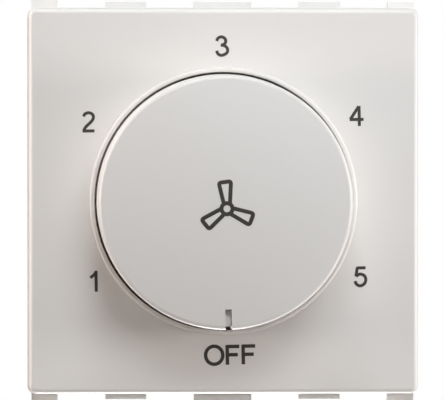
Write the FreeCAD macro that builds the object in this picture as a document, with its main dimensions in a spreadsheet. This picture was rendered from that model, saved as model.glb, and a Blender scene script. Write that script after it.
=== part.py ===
import FreeCAD, Part
import math
import os

import Sketcher

# Two-module fan speed control: a square moulded plate with a large turning knob, clipped to a
# moulded housing that drops into a wall frame and holds a rotary switch, its circuit board,
# capacitors, resistors and two screw terminals.
#
# Frame: X to the right and Z up as the plate is seen, Y into the wall. Y = 0 is the seat, where
# the back of the housing's flange meets the frame. A height is measured from the seat towards the
# front, so a point at height h lies at Y = -h. The knob turns about the Y axis.

# Driving sizes, in millimetres and degrees
SIZES = {
    "module_width": 44.9,
    "module_height": 44.4,
    "module_corner": 0.9,
    "flange_thickness": 1.5,
    "corner_tab_width": 3.0,
    "corner_tab_inset": 0.45,
    "side_tab_width": 4.7,
    "side_tab_place": 11.15,
    "centre_tab_width": 6.6,
    "tab_reach": 0.65,
    "key_tab_reach": 0.85,
    "long_tab_reach": 0.95,
    "frame_ledge": 1.25,
    "tub_depth": 30.0,
    "tub_wall": 1.6,
    "tub_corner": 2.0,
    "tub_rear_radius": 1.0,
    "latch_length": 11.0,
    "latch_slit": 0.8,
    "latch_tip_gap": 0.4,
    "frame_grip": 2.2,
    "barb_reach": 1.2,
    "barb_length": 3.2,
    "vent_count": 6,
    "vent_width": 1.4,
    "vent_length": 14.0,
    "vent_pitch": 3.2,
    "vent_start": -4.0,
    "boss_radius": 2.3,
    "boss_inset": 1.7,
    "pilot_radius": 1.0,
    "pilot_depth": 9.0,
    "face_height": 6.0,
    "face_wall": 1.8,
    "skirt_wall": 1.5,
    "plate_inset": 0.1,
    "plate_draft": 1.2,
    "plate_edge_radius": 0.6,
    "knob_gap": 0.2,
    "recess_wall": 1.6,
    "recess_floor_height": 4.0,
    "recess_floor_wall": 1.6,
    "collar_width": 0.55,
    "collar_rise": 0.25,
    "collar_edge_radius": 0.22,
    "finger_width": 5.0,
    "finger_thickness": 1.3,
    "finger_place": 11.0,
    "finger_depth": 4.6,
    "finger_gap": 0.1,
    "finger_barb": 0.9,
    "finger_barb_length": 2.0,
    "window_play": 0.3,
    "post_radius": 1.3,
    "post_place": 8.5,
    "post_gap": 0.1,
    "knob_projection": 9.5,
    "knob_face_radius": 14.3,
    "knob_crown": 0.7,
    "knob_draft": 0.25,
    "knob_edge_radius": 0.5,
    "knob_wall": 1.7,
    "knob_face_wall": 2.0,
    "knob_floor_gap": 0.3,
    "hub_radius": 5.2,
    "hub_gap": 0.6,
    "rib_count": 6,
    "rib_thickness": 1.0,
    "rib_set_back": 3.0,
    "notch_turn": 1.4,
    "notch_width": 0.72,
    "notch_length": 2.3,
    "notch_depth": 0.8,
    "notch_side_depth": 0.35,
    "spindle_radius": 3.0,
    "spindle_tip_gap": 0.4,
    "spindle_flat": 0.8,
    "spindle_flat_length": 7.6,
    "bore_gap": 0.03,
    "running_gap": 0.05,
    "grip_pocket_width": 4.2,
    "grip_pocket_depth": 0.9,
    "grip_thickness": 0.3,
    "collar_radius": 4.2,
    "collar_thickness": 0.5,
    "drive_side": 4.2,
    "pivot_radius": 1.8,
    "pivot_depth": 0.8,
    "groove_radius": 2.4,
    "clip_thickness": 0.5,
    "clip_radius": 4.3,
    "clip_band": 0.9,
    "clip_mouth": 4.0,
    "cover_set_back": 1.0,
    "cover_thickness": 1.2,
    "bushing_radius": 4.5,
    "bushing_height": 3.6,
    "bushing_opening_gap": 0.4,
    "wheel_room": 3.4,
    "switch_corner": 1.0,
    "switch_depth": 7.6,
    "switch_wall": 1.5,
    "switch_floor": 1.6,
    "wheel_side_gap": 0.4,
    "rivet_radius": 1.0,
    "rivet_inset": 1.5,
    "rivet_hole_gap": 0.05,
    "rivet_head_radius": 1.45,
    "rivet_head_height": 0.6,
    "foot_radius": 1.2,
    "foot_inset": 1.7,
    "foot_place_up": 6.0,
    "detent_count": 6,
    "wheel_radius": 8.6,
    "wheel_thickness": 2.2,
    "wheel_gap": 0.05,
    "hub_disc_radius": 8.0,
    "hub_disc_thickness": 1.2,
    "detent_radius": 1.35,
    "detent_depth": 0.75,
    "stop_lug_reach": 2.0,
    "stop_lug_half_angle": 15.0,
    "stop_post_clear": 1.0,
    "stop_post_set_in": 0.4,
    "stop_post_half_angle": 14.5,
    "stop_play": 0.5,
    "peg_radius": 0.6,
    "peg_place": 3.7,
    "peg_length": 0.7,
    "spring_gap": 1.3,
    "spring_thickness": 0.3,
    "spring_width": 1.8,
    "spring_end_hold": 1.6,
    "spring_slot_gap": 0.1,
    "nose_half_width": 0.3,
    "nose_foot": 1.6,
    "nose_gap": 0.1,
    "contact_count": 5,
    "contact_inner": 6.6,
    "contact_outer": 9.2,
    "contact_half_angle": 18.0,
    "contact_thickness": 0.5,
    "ring_inner": 3.4,
    "ring_outer": 5.4,
    "tag_width": 1.4,
    "tag_thickness": 0.5,
    "tag_end": 0.9,
    "tag_hole_gap": 0.08,
    "wiper_thickness": 0.3,
    "wiper_half_width": 2.7,
    "wiper_half_length": 4.8,
    "wiper_arm_width": 2.4,
    "wiper_lift": 0.08,
    "wiper_toe": 0.9,
    "board_gap": 1.2,
    "board_thickness": 1.6,
    "board_side_gap": 0.3,
    "board_screw_radius": 0.95,
    "board_screw_length": 8.5,
    "board_screw_head": 1.8,
    "board_screw_head_height": 1.2,
    "board_screw_hole": 1.1,
    "board_screw_slot": 0.6,
    "lead_radius": 0.4,
    "lead_hole_gap": 0.1,
    "lead_stub": 0.7,
    "part_lift": 1.3,
    "part_gap": 0.8,
    "lead_inset": 1.25,
    "run_capacitor_height": 12.2,
    "capacitor_back_gap": 0.8,
    "run_top_gap": 1.4,
    "start_set_in": 2.3,
    "start_capacitor_height": 9.8,
    "start_set_down": 1.3,
    "capacitor_gap": 0.9,
    "capacitor_edge": 0.6,
    "resistor_inset": 1.8,
    "resistor_end_gap": 0.85,
    "surge_radius": 1.7,
    "surge_length": 9.0,
    "bleed_radius": 1.15,
    "bleed_length": 6.3,
    "resistor_lift": 2.6,
    "resistor_waist": 0.15,
    "resistor_cap_length": 1.5,
    "resistor_lead_radius": 0.35,
    "resistor_lead_reach": 1.2,
    "lead_bend_radius": 0.8,
    "pillar_side_gap": 2.2,
    "pillar_width": 8.2,
    "pillar_height": 7.8,
    "pillar_back_gap": 3.8,
    "pillar_floor_gap": 0.3,
    "pillar_top_gap": 1.2,
    "pillar_rib": 1.0,
    "pillar_rib_gap": 0.15,
    "pillar_rib_top": 15.0,
    "pillar_leg_width": 1.4,
    "pillar_leg_thickness": 0.8,
    "pillar_leg_place": 2.6,
    "pillar_leg_drop": 1.6,
    "pillar_edge": 0.4,
    "wire_radius": 2.1,
    "wire_depth": 4.0,
    "wire_entry_radius": 2.6,
    "wire_entry_flare": 0.6,
    "screw_radius": 1.9,
    "screw_hole_gap": 0.05,
    "screw_clear": 0.1,
    "screw_set_in": 0.2,
    "screw_head_radius": 3.0,
    "screw_head_height": 2.0,
    "screw_head_gap": 0.2,
    "screw_slot_width": 0.9,
    "screw_slot_depth": 1.0,
    "screw_tip": 0.4,
    "cut_margin": 1.0,
}

doc = FreeCAD.newDocument("FanSpeedControl")
sheet = doc.addObject("Spreadsheet::Sheet", "Sizes")
for row, (alias, number) in enumerate(SIZES.items(), start=1):
    sheet.set(f"A{row}", alias)
    sheet.set(f"B{row}", str(number))
    sheet.setAlias(f"B{row}", alias)
doc.recompute()


class Size:
    """A length or angle known both as a number and as an expression on the sheet's cells."""

    def __init__(self, value, text):
        self.value = float(value)
        self.text = text

    @staticmethod
    def of(other):
        return other if isinstance(other, Size) else Size(other, repr(float(other)))

    def combine(self, other, sign, value):
        return Size(value, f"({self.text} {sign} {other.text})")

    def __add__(self, other):
        other = Size.of(other)
        return self.combine(other, "+", self.value + other.value)

    def __sub__(self, other):
        other = Size.of(other)
        return self.combine(other, "-", self.value - other.value)

    def __mul__(self, other):
        other = Size.of(other)
        return self.combine(other, "*", self.value * other.value)

    def __truediv__(self, other):
        other = Size.of(other)
        return self.combine(other, "/", self.value / other.value)

    def __radd__(self, other):
        return Size.of(other) + self

    def __rsub__(self, other):
        return Size.of(other) - self

    def __rmul__(self, other):
        return Size.of(other) * self

    def __rtruediv__(self, other):
        return Size.of(other) / self

    def __neg__(self):
        return Size(-self.value, f"(-1 * {self.text})")


class Sheet:
    """Gives each cell of the sheet by its alias, such as tub_width."""

    def __getattr__(self, alias):
        return Size(sheet.get(alias), "Sizes." + alias)


s = Sheet()


def sine(angle):
    return Size(math.sin(math.radians(angle.value)), f"sin({angle.text} * 1 deg)")


def cosine(angle):
    return Size(math.cos(math.radians(angle.value)), f"cos({angle.text} * 1 deg)")


def root(size):
    return Size(math.sqrt(size.value), f"sqrt({size.text})")


def left_arc(start, end, radius):
    """The short arc between two points that turns to the left."""
    chord = end - start
    left = FreeCAD.Vector(-chord.y, chord.x, 0).normalize()
    middle = start + chord * 0.5
    centre = middle + left * math.sqrt(radius**2 - (chord.Length / 2) ** 2)
    first, last = (math.atan2(p.y - centre.y, p.x - centre.x) for p in (start, end))
    circle = Part.Circle(centre, FreeCAD.Vector(0, 0, 1), radius)
    return Part.ArcOfCircle(circle, first, last)


def bind(thing, path, size):
    """Ties a property to the sheet through a size."""
    thing.setExpression(path, Size.of(size).text)


def origin_feature(body, role):
    return next(f for f in body.Origin.OriginFeatures if f.Role == role)


def new_body(label):
    body = doc.addObject("PartDesign::Body", label)
    body.Label = label
    return body


class Drawing:
    """A sketch whose every point is placed from the origin by sizes of the sheet."""

    def __init__(self, body, plane="XZ_Plane", offset=0):
        self.sketch = body.newObject("Sketcher::SketchObject", body.Name + "Sketch")
        self.sketch.AttachmentSupport = [(origin_feature(body, plane), "")]
        self.sketch.MapMode = "FlatFace"
        bind(self.sketch, ".AttachmentOffset.Base.z", offset)

    def hold(self, kind, *where_and_size):
        """Adds a driving constraint, tied to the sheet when its size is."""
        *where, size = where_and_size
        size = Size.of(size)
        index = self.sketch.addConstraint(Sketcher.Constraint(kind, *where, size.value))
        if "Sizes." in size.text:
            self.sketch.setExpression(f"Constraints[{index}]", size.text)

    def place(self, geometry, end, x, y):
        self.hold("DistanceX", -1, 1, geometry, end, x)
        self.hold("DistanceY", -1, 1, geometry, end, y)

    def polygon(self, points, bends=()):
        """A closed outline. Each bend, a side's number and a radius, makes it an arc to the left."""
        bends = dict(bends)
        points = [(Size.of(x), Size.of(y)) for x, y in points]
        corners = [FreeCAD.Vector(x.value, y.value, 0) for x, y in points]
        first = self.sketch.GeometryCount
        count = len(corners)
        for i, corner in enumerate(corners):
            after = corners[(i + 1) % count]
            side = left_arc(corner, after, bends[i].value) if i in bends else Part.LineSegment(corner, after)
            self.sketch.addGeometry(side)
        for i in range(count):
            after = first + (i + 1) % count
            self.sketch.addConstraint(Sketcher.Constraint("Coincident", first + i, 2, after, 1))
        for i, (x, y) in enumerate(points):
            self.place(first + i, 1, x, y)
        for i, radius in bends.items():
            self.hold("Radius", first + i, radius)
        return self

    def rectangle(self, x0, y0, x1, y1):
        return self.polygon([(x0, y0), (x1, y0), (x1, y1), (x0, y1)])

    def box(self, x, y, width, height):
        """A rectangle by its middle and its two sides."""
        x, y, width, height = (Size.of(v) for v in (x, y, width, height))
        return self.rectangle(x - width / 2, y - height / 2, x + width / 2, y + height / 2)

    def bar(self, start, end, width, angle):
        """A bar of even width along a ray from the origin, at an angle in degrees."""
        corners = [(start, -width / 2), (end, -width / 2), (end, width / 2), (start, width / 2)]
        along, up = cosine(angle), sine(angle)
        return self.polygon([(r * along - t * up, r * up + t * along) for r, t in corners])

    def circle(self, x, y, radius):
        x, y, radius = Size.of(x), Size.of(y), Size.of(radius)
        centre = FreeCAD.Vector(x.value, y.value, 0)
        normal = FreeCAD.Vector(0, 0, 1)
        index = self.sketch.addGeometry(Part.Circle(centre, normal, radius.value))
        self.hold("Radius", index, radius)
        self.place(index, 3, x, y)
        return self

    def arc(self, x, y, radius, start, end):
        """An arc about a held centre, between two angles in degrees. Its ends are left free."""
        x, y, radius = Size.of(x), Size.of(y), Size.of(radius)
        centre = FreeCAD.Vector(x.value, y.value, 0)
        circle = Part.Circle(centre, FreeCAD.Vector(0, 0, 1), radius.value)
        curve = Part.ArcOfCircle(circle, math.radians(start), math.radians(end))
        index = self.sketch.addGeometry(curve)
        self.hold("Radius", index, radius)
        self.place(index, 3, x, y)
        return index

    def join(self, *ends):
        self.sketch.addConstraint(Sketcher.Constraint("Coincident", *ends))

    def straight(self, start, end):
        """A line between two held points, each a pair of sizes."""
        (x0, y0), (x1, y1) = start, end
        a = FreeCAD.Vector(Size.of(x0).value, Size.of(y0).value, 0)
        b = FreeCAD.Vector(Size.of(x1).value, Size.of(y1).value, 0)
        index = self.sketch.addGeometry(Part.LineSegment(a, b))
        self.place(index, 1, x0, y0)
        self.place(index, 2, x1, y1)
        return index

    def slot(self, x, y, length, width):
        """A slot with round ends, lying along the sketch's first axis."""
        x, y, reach, radius = Size.of(x), Size.of(y), (length - width) / 2, width / 2
        top = self.straight((x - reach, y + radius), (x + reach, y + radius))
        bottom = self.straight((x - reach, y - radius), (x + reach, y - radius))
        right = self.sketch.addGeometry(self.half_turn(x + reach, y, radius, 1))
        left = self.sketch.addGeometry(self.half_turn(x - reach, y, radius, -1))
        self.join(right, 2, top, 2)
        self.join(right, 1, bottom, 2)
        self.join(left, 1, top, 1)
        self.join(left, 2, bottom, 1)
        self.hold("DistanceX", -1, 1, right, 3, x + reach)
        self.hold("DistanceX", -1, 1, left, 3, x - reach)
        return self

    @staticmethod
    def half_turn(x, y, radius, side):
        centre = FreeCAD.Vector(x.value, y.value, 0)
        circle = Part.Circle(centre, FreeCAD.Vector(0, 0, 1), radius.value)
        start = -math.pi / 2 if side > 0 else math.pi / 2
        return Part.ArcOfCircle(circle, start, start + math.pi)

    def sector(self, inner, outer, middle, half_angle):
        """A piece of a ring about the origin, half_angle to each side of the middle angle."""
        low, high = middle - half_angle, middle + half_angle
        sides = []
        for angle in (low, high):
            start = (inner * cosine(angle), inner * sine(angle))
            end = (outer * cosine(angle), outer * sine(angle))
            sides.append(self.straight(start, end))
        for radius, end in ((inner, 1), (outer, 2)):
            circle = Part.Circle(FreeCAD.Vector(0, 0, 0), FreeCAD.Vector(0, 0, 1), radius.value)
            limits = math.radians(low.value), math.radians(high.value)
            arc = self.sketch.addGeometry(Part.ArcOfCircle(circle, *limits))
            self.hold("Radius", arc, radius)
            self.join(arc, 1, sides[0], end)
            self.join(arc, 2, sides[1], end)
        return self


def add_feature(body, kind, drawing, settings):
    feature = body.newObject("PartDesign::" + kind, body.Name + kind)
    feature.Profile = drawing.sketch
    drawing.sketch.Visibility = False
    for name, value in settings.items():
        if isinstance(value, Size):
            bind(feature, name, value)
        else:
            setattr(feature, name, value)
    body.Tip = feature
    return feature


def pad(body, drawing, length, **settings):
    """Raises a drawing. On the front plane it grows towards the front."""
    return add_feature(body, "Pad", drawing, {"Length": Size.of(length), **settings})


def pocket(body, drawing, length, **settings):
    """Sinks a drawing. On the front plane it cuts towards the back."""
    return add_feature(body, "Pocket", drawing, {"Length": Size.of(length), **settings})


def turned(body, points, kind="Revolution", bends=()):
    """Turns a profile of (radius, height) points about the knob's axis."""
    corners = [(radius, -Size.of(height)) for radius, height in points]
    drawing = Drawing(body, "XY_Plane").polygon(corners, bends)
    settings = {"ReferenceAxis": (drawing.sketch, ["V_Axis"]), "Angle": 360.0}
    return add_feature(body, kind, drawing, settings)


def around(body, feature, count, angle=360.0):
    """Repeats a feature about the knob's axis, towards the numbers that follow each other."""
    pattern = body.newObject("PartDesign::PolarPattern", body.Name + "Pattern")
    pattern.Originals = [feature]
    pattern.Axis = (origin_feature(body, "Y_Axis"), [""])
    bind(pattern, "Angle", angle)
    bind(pattern, "Occurrences", count)
    body.Tip = pattern
    return pattern


def mirrored(body, features, plane):
    copy = body.newObject("PartDesign::Mirrored", body.Name + "Mirror")
    copy.Originals = features
    copy.MirrorPlane = (origin_feature(body, plane), [""])
    body.Tip = copy
    return copy


def edges_where(shape, test):
    return [f"Edge{i}" for i, edge in enumerate(shape.Edges, start=1) if test(edge)]


def round_edges(body, radius, test, kind="Fillet"):
    """Rounds or bevels the edges of the body so far that pass a test."""
    doc.recompute()
    base = body.Tip
    feature = body.newObject("PartDesign::" + kind, body.Name + kind)
    feature.Base = (base, edges_where(base.Shape, test))
    bind(feature, "Radius" if kind == "Fillet" else "Size", radius)
    body.Tip = feature
    return feature


TOUCH = 1e-4
STEEP = 5


def lies_at(edge, height):
    """True where the whole edge is at one height."""
    box = edge.BoundBox
    return abs(box.YMin + height.value) < TOUCH and abs(box.YMax + height.value) < TOUCH


def runs_deep(edge):
    """True for a straight edge that runs mainly from front to back."""
    box = edge.BoundBox
    return box.YLength > STEEP * max(box.XLength, box.ZLength, TOUCH)


def is_outer(edge, reach_across, reach_up):
    middle = edge.BoundBox.Center
    return abs(middle.x) > reach_across.value and abs(middle.z) > reach_up.value


# Heights, counted from the seat, that several pieces share
face_inside = s.face_height - s.face_wall
recess_underside = s.recess_floor_height - s.recess_floor_wall
knob_base = s.recess_floor_height + s.knob_floor_gap
knob_face = s.face_height + s.knob_projection
knob_top = knob_face + s.knob_crown
knob_inside = knob_face - s.knob_face_wall
clip_back = s.bushing_height + s.running_gap
clip_front = clip_back + s.clip_thickness
hub_start = clip_front + s.hub_gap
cover_front = -s.cover_set_back
cover_back = cover_front - s.cover_thickness
cup_back = cover_back - s.switch_depth
cup_floor = cup_back + s.switch_floor
collar_front = cover_back - s.running_gap
collar_back = collar_front - s.collar_thickness
wheel_front = collar_back - s.wheel_gap
wheel_back = wheel_front - s.wheel_thickness
disc_back = wheel_back - s.hub_disc_thickness
contact_front = cup_floor + s.contact_thickness
board_front = cup_back - s.board_gap
board_back = board_front - s.board_thickness
tag_back = board_back - s.tag_end
wire_height = board_back - s.wire_depth
tub_inside_back = s.tub_wall - s.tub_depth
capacitor_front = board_back - s.part_lift
run_capacitor_depth = capacitor_front - tub_inside_back - s.capacitor_back_gap
start_capacitor_depth = run_capacitor_depth - s.start_set_down
pillar_back = tub_inside_back + s.pillar_back_gap
pillar_depth = board_back - pillar_back
screw_tip_height = wire_height - s.wire_radius - s.screw_clear
screw_seat = s.screw_set_in + s.screw_head_height - s.tub_depth

# The knob and its opening
knob_base_radius = s.knob_face_radius + s.knob_draft
knob_opening_radius = knob_base_radius + s.knob_gap

# The tub: as wide as the frame's ledges leave, as high as what stands in it from the bottom up
tub_width = s.module_width - 2 * s.frame_ledge
tub_inside_width = tub_width - 2 * s.tub_wall
pillar_room = s.pillar_floor_gap + s.pillar_height + s.pillar_top_gap
start_room = s.start_capacitor_height + s.capacitor_gap
run_room = s.run_capacitor_height + s.run_top_gap
tub_inside_height = pillar_room + start_room + run_room
tub_height = tub_inside_height + 2 * s.tub_wall
corner_tab_place = s.module_width / 2 - s.corner_tab_inset - s.corner_tab_width / 2

# The board and where things stand on it, across and up from its middle
board_width = tub_inside_width - 2 * s.board_side_gap
board_height = tub_inside_height - 2 * s.board_side_gap
boss_place_across = board_width / 2 - s.boss_inset
boss_place_up = board_height / 2 - s.boss_inset
boss_side = boss_place_across - s.boss_radius
boss_end = boss_place_up - s.boss_radius
pillar_place = boss_side - s.pillar_side_gap - s.pillar_width / 2
pillar_middle = s.pillar_floor_gap + s.pillar_height / 2 - tub_inside_height / 2
resistor_place = board_width / 2 - s.resistor_inset
resistor_end = s.resistor_end_gap + s.resistor_lead_radius + s.resistor_lead_reach
surge_place = boss_end - resistor_end - s.surge_length / 2
bleed_place = s.bleed_length / 2 + resistor_end - boss_end
run_capacitor_width = 2 * (resistor_place - s.surge_radius - s.part_gap)
run_capacitor_place = tub_inside_height / 2 - s.run_top_gap - s.run_capacitor_height / 2
run_lead_place = run_capacitor_width / 2 - s.lead_inset
start_capacitor_width = run_capacitor_width - 2 * s.start_set_in
start_capacitor_place = pillar_room + s.start_capacitor_height / 2 - tub_inside_height / 2
start_lead_place = start_capacitor_width / 2 - s.lead_inset

# The rotary switch: all of it follows the size of its wheel
cavity_half = s.wheel_radius + s.wheel_room
wheel_well = s.wheel_radius + s.wheel_side_gap
switch_side = 2 * (cavity_half + s.switch_wall)
rivet_place = switch_side / 2 - s.rivet_inset
foot_place_across = switch_side / 2 - s.foot_inset
detent_centre = s.wheel_radius - s.detent_depth + s.detent_radius
spring_place = s.wheel_radius + s.spring_gap
spring_half_length = wheel_well + s.spring_end_hold
stop_lug_radius = s.wheel_radius + s.stop_lug_reach
stop_post_inner = s.wheel_radius + s.stop_post_clear
stop_post_outer = cavity_half - s.stop_post_set_in
tag_place = (s.contact_inner + s.contact_outer) / 2

sides = (-1, 1)
downward = Size.of(270)


# Housing: one moulding with the flange and its tabs, the tub, the frame latches, the bosses for
# the board, the pockets for the terminals and the vents
def rear_housing():
    body = new_body("rear_housing")
    tub = Drawing(body, offset=-s.tub_depth).box(0, 0, tub_width, tub_height)
    pad(body, tub, s.tub_depth)
    round_edges(body, s.tub_corner, runs_deep)
    round_edges(body, s.tub_rear_radius, lambda edge: lies_at(edge, -s.tub_depth))
    flange = Drawing(body).box(0, 0, s.module_width, s.module_height)
    pad(body, flange, s.flange_thickness)
    reach = s.module_width / 2 - s.module_corner, s.module_height / 2 - s.module_corner
    round_edges(body, s.module_corner, lambda edge: runs_deep(edge) and is_outer(edge, *reach))
    frame_tabs(body)
    hollow = Drawing(body, offset=s.flange_thickness).box(0, 0, tub_inside_width, tub_inside_height)
    pocket(body, hollow, s.flange_thickness - tub_inside_back)
    latches(body)
    finger_windows(body)
    board_bosses(body)
    terminal_pockets(body)
    vents(body)
    return body


def frame_tabs(body):
    """Ten tabs on the flange's top and bottom edges, which stop the module at the frame."""
    edge = s.module_height / 2
    root = edge - s.tub_wall
    tabs = Drawing(body)
    for side in sides:
        far = s.tab_reach if side > 0 else s.long_tab_reach
        tabs.rectangle(-s.centre_tab_width / 2, side * root, s.centre_tab_width / 2, side * (edge + far))
        for across in sides:
            middle = across * s.side_tab_place
            half = s.side_tab_width / 2
            tabs.rectangle(middle - half, side * root, middle + half, side * (edge + s.tab_reach))
            middle = across * corner_tab_place
            half = s.corner_tab_width / 2
            keyed = s.key_tab_reach if across < 0 and side > 0 else far
            tabs.rectangle(middle - half, side * root, middle + half, side * (edge + keyed))
    pad(body, tabs, s.flange_thickness)


def latches(body):
    """Sprung arms in the top and bottom walls, whose barbs catch behind the frame. The window in
    the flange over each barb lets the mould draw."""
    slot_width = s.side_tab_width + 2 * s.latch_slit
    outside = tub_height / 2
    inside = outside - s.tub_wall
    windows = Drawing(body, "XY_Plane", offset=-tub_height)
    for across in sides:
        middle = across * s.side_tab_place
        windows.rectangle(middle - slot_width / 2, 0, middle + slot_width / 2, s.latch_length)
    pocket(body, windows, 2 * tub_height, Reversed=True)
    draws = Drawing(body, offset=s.flange_thickness)
    for across in sides:
        for side in sides:
            middle = across * s.side_tab_place
            half = slot_width / 2
            draws.rectangle(middle - half, side * inside, middle + half, side * (outside + s.barb_reach))
    pocket(body, draws, s.flange_thickness)
    arm = [
        (s.latch_length, inside),
        (s.latch_tip_gap, inside),
        (s.latch_tip_gap, outside),
        (s.frame_grip, outside),
        (s.frame_grip, outside + s.barb_reach),
        (s.frame_grip + s.barb_reach / 2, outside + s.barb_reach),
        (s.frame_grip + s.barb_length, outside),
        (s.latch_length, outside),
    ]
    start = s.side_tab_place - s.side_tab_width / 2
    arms = Drawing(body, "YZ_Plane", offset=start).polygon(arm)
    first = pad(body, arms, s.side_tab_width)
    transform = body.newObject("PartDesign::MultiTransform", "LatchCopies")
    transform.Originals = [first]
    steps = []
    for plane in ("YZ_Plane", "XY_Plane"):
        step = body.newObject("PartDesign::Mirrored", "LatchMirror")
        step.MirrorPlane = (origin_feature(body, plane), [""])
        steps.append(step)
    transform.Transformations = steps
    body.Tip = transform


def finger_windows(body):
    """Windows in the left and right walls that the front plate's fingers snap into."""
    deep_end = s.finger_depth + s.window_play
    shallow_end = s.finger_depth - s.finger_barb_length - s.window_play
    windows = Drawing(body, "YZ_Plane", offset=-tub_width)
    for side in sides:
        middle = side * s.finger_place
        half = s.finger_width / 2 + s.window_play
        windows.rectangle(shallow_end, middle - half, deep_end, middle + half)
    pocket(body, windows, 2 * tub_width, Reversed=True)


def board_bosses(body):
    """Four bosses against the corners, which carry the board and take its screws."""
    bosses = Drawing(body, offset=tub_inside_back)
    pilots = Drawing(body, offset=board_back)
    for across in sides:
        for side in sides:
            place = across * boss_place_across, side * boss_place_up
            bosses.circle(*place, s.boss_radius)
            pilots.circle(*place, s.pilot_radius)
    pad(body, bosses, board_back - tub_inside_back)
    pocket(body, pilots, s.pilot_depth)


def terminal_pockets(body):
    """Ribs at the sides of each terminal, the wire entries below and the screw holes behind."""
    ribs = Drawing(body, offset=tub_inside_back)
    bottom = -tub_inside_height / 2
    top = pillar_middle + s.pillar_height / 2
    for terminal in sides:
        for side in sides:
            near = s.pillar_width / 2 + s.pillar_rib_gap
            start = terminal * pillar_place + side * near
            ribs.rectangle(start, bottom - s.tub_wall / 2, start + side * s.pillar_rib, top)
    pad(body, ribs, -s.pillar_rib_top - tub_inside_back)
    entries = Drawing(body, "XY_Plane", offset=bottom - s.tub_wall)
    holes = Drawing(body, offset=-s.tub_depth)
    for terminal in sides:
        entries.circle(terminal * pillar_place, -wire_height, s.wire_entry_radius)
        middle = terminal * pillar_place, pillar_middle
        holes.circle(*middle, s.screw_head_radius + s.screw_head_gap)
    pocket(body, entries, s.tub_wall, Reversed=True)
    rim = (bottom - s.tub_wall).value
    radius = s.wire_entry_radius.value

    def entry_rim(edge):
        box = edge.BoundBox
        flat = abs(box.ZMin - rim) < TOUCH and abs(box.ZMax - rim) < TOUCH
        is_circle = edge.Curve.TypeId == "Part::GeomCircle"
        return flat and is_circle and abs(edge.Curve.Radius - radius) < TOUCH

    round_edges(body, s.wire_entry_flare, entry_rim, "Chamfer")
    pocket(body, holes, s.tub_wall, Reversed=True)


def vents(body):
    """A row of slots through the back, for the heat."""
    back = Drawing(body, offset=-s.tub_depth).slot(0, s.vent_start, s.vent_length, s.vent_width)
    first = pocket(body, back, s.tub_wall, Reversed=True)
    row = body.newObject("PartDesign::LinearPattern", "VentRow")
    row.Originals = [first]
    row.Direction = (origin_feature(body, "Z_Axis"), [""])
    bind(row, "Length", s.vent_pitch * (s.vent_count - 1))
    bind(row, "Occurrences", s.vent_count)
    body.Tip = row


# Front plate: one moulding with the face, a skirt that stands on the flange, a raised collar and
# a shallow recess for the knob, four snap fingers and four posts that keep the switch down
def front_plate():
    body = new_body("front_plate")
    foot_width = s.module_width - 2 * s.plate_inset
    foot_height = s.module_height - 2 * s.plate_inset
    outline = Drawing(body, offset=s.flange_thickness).box(0, 0, foot_width, foot_height)
    depth = s.face_height - s.flange_thickness
    pad(body, outline, depth, TaperAngle=-s.plate_draft)
    round_edges(body, s.module_corner, runs_deep)
    round_edges(body, s.plate_edge_radius, lambda edge: lies_at(edge, s.face_height))
    inside = Drawing(body, offset=s.flange_thickness)
    inside.box(0, 0, foot_width - 2 * s.skirt_wall, foot_height - 2 * s.skirt_wall)
    pocket(body, inside, depth - s.face_wall, Reversed=True)
    opening = Drawing(body, offset=face_inside).circle(0, 0, knob_opening_radius + s.recess_wall / 2)
    pocket(body, opening, s.face_wall, Reversed=True)
    collar_top = s.face_height + s.collar_rise
    recess = [
        (s.bushing_radius + s.bushing_opening_gap, recess_underside),
        (knob_opening_radius + s.recess_wall, recess_underside),
        (knob_opening_radius + s.recess_wall, s.face_height),
        (knob_opening_radius + s.collar_width, s.face_height),
        (knob_opening_radius + s.collar_width, collar_top),
        (knob_opening_radius, collar_top),
        (knob_opening_radius, s.recess_floor_height),
        (s.bushing_radius + s.bushing_opening_gap, s.recess_floor_height),
    ]
    turned(body, recess)
    round_edges(body, s.collar_edge_radius, lambda edge: lies_at(edge, collar_top))
    posts = Drawing(body, offset=cover_front + s.post_gap)
    for across in sides:
        for side in sides:
            posts.circle(across * s.post_place, side * s.post_place, s.post_radius)
    pad(body, posts, recess_underside - cover_front - s.post_gap)
    snap_fingers(body)
    return body


def snap_fingers(body):
    """Four fingers that go down inside the tub's side walls and hook into their windows."""
    wall = tub_inside_width / 2 - s.finger_gap
    root = wall - s.finger_thickness
    hook = s.finger_depth - s.finger_barb_length
    profiles = Drawing(body, "XY_Plane", offset=s.finger_place - s.finger_width / 2)
    for side in sides:
        finger = [
            (root, -face_inside),
            (root, s.finger_depth),
            (wall - s.finger_thickness / 2, s.finger_depth),
            (wall + s.finger_barb, hook + s.finger_barb_length / 4),
            (wall + s.finger_barb, hook),
            (wall, hook),
            (wall, -face_inside),
        ]
        profiles.polygon([(side * x, y) for x, y in finger])
    fingers = pad(body, profiles, s.finger_width)
    mirrored(body, [fingers], "XY_Plane")


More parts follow.
